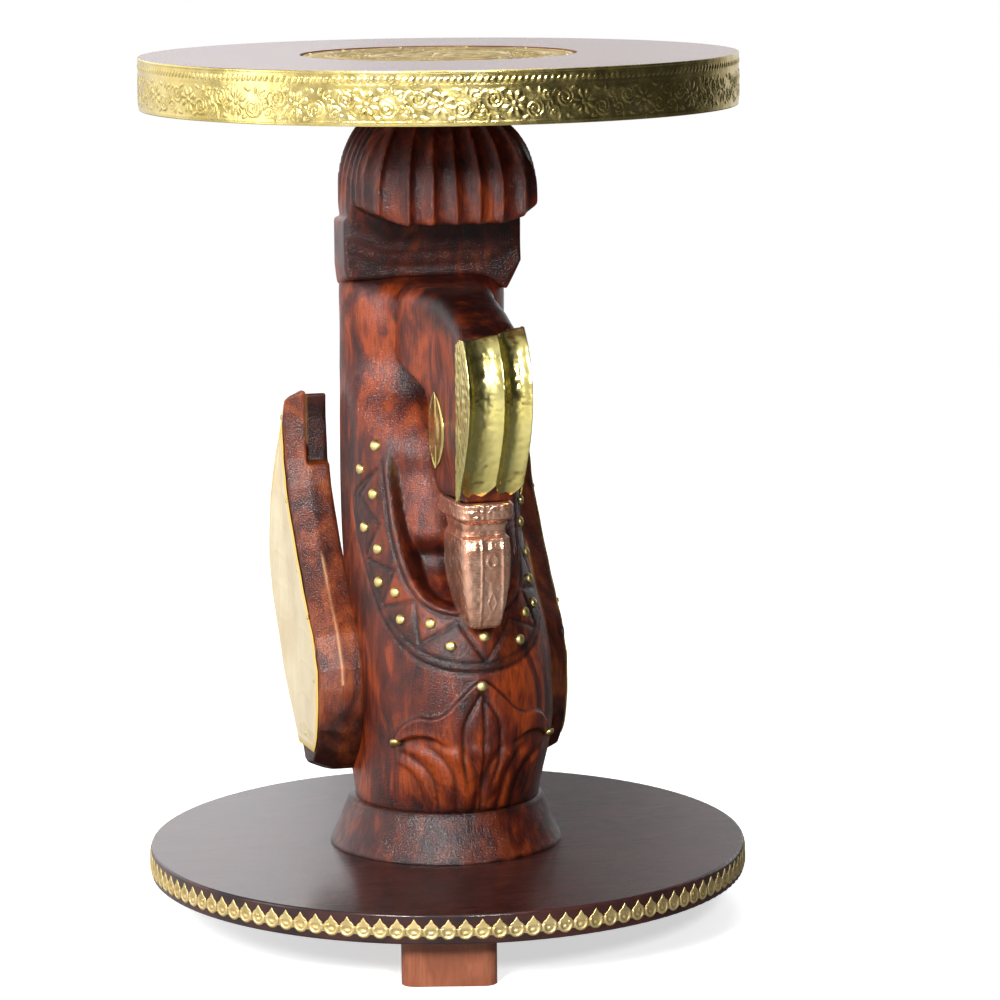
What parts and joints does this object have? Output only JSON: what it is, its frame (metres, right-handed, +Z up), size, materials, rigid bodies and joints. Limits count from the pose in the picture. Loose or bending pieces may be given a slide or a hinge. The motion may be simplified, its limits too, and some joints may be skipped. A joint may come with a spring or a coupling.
{
  "type": "carved bird side table",
  "caption": "Round wooden side table: a carved bird column with brass crest, copper beak and side wings between a brass-banded top and a round base on block feet.",
  "frame": {"origin": "on the floor, on the axis that the table top and the base share", "axes": "+Z up, the bird faces -Y, +X to the right of someone who faces the bird"},
  "size_m": [0.3164, 0.3164, 0.4572],
  "materials": {
    "top_wood": "glossy dark brown varnish",
    "carved_wood": "glossy red-brown varnish over carved sheesham, darker in the hollows",
    "base_wood": "satin dark maroon-brown varnish",
    "raw_wood": "thinly stained, unpolished",
    "brass_sheet": "thin embossed sheet, polished",
    "brass_stud": "polished dome",
    "copper_sheet": "thin hammered copper sheet, polished",
    "pale_sheet": "thin embossed sheet, pale and softly polished",
    "screw_steel": "zinc plated"
  },
  "bodies": {
    "root": {"table_top": "top_wood", "top_edge_band": "brass_sheet", "band_tacks": "brass_stud", "top_medallion": "brass_sheet", "medallion_tacks": "brass_stud", "top_screws": "screw_steel", "tail_block": "carved_wood", "tail_dowels": "raw_wood", "carved_column": "carved_wood", "neck_dowels": "raw_wood", "neck_and_head": "carved_wood", "crest_plate": "brass_sheet", "beak_ring": "copper_sheet", "beak_sheath": "copper_sheet", "left_eye_plate": "brass_sheet", "right_eye_plate": "brass_sheet", "left_wing": "carved_wood", "right_wing": "carved_wood", "left_wing_plate": "pale_sheet", "right_wing_plate": "pale_sheet", "wing_screws": "screw_steel", "wing_plate_tacks": "brass_stud", "necklace_studs": "brass_stud", "star_studs": "brass_stud", "plinth_ring": "carved_wood", "base_screws": "screw_steel", "base_disc": "base_wood", "base_lace_strip": "brass_sheet", "lace_tacks": "brass_stud", "foot_front": "raw_wood", "foot_right": "raw_wood", "foot_left": "raw_wood", "foot_screws": "screw_steel"}
  },
  "joints": []
}
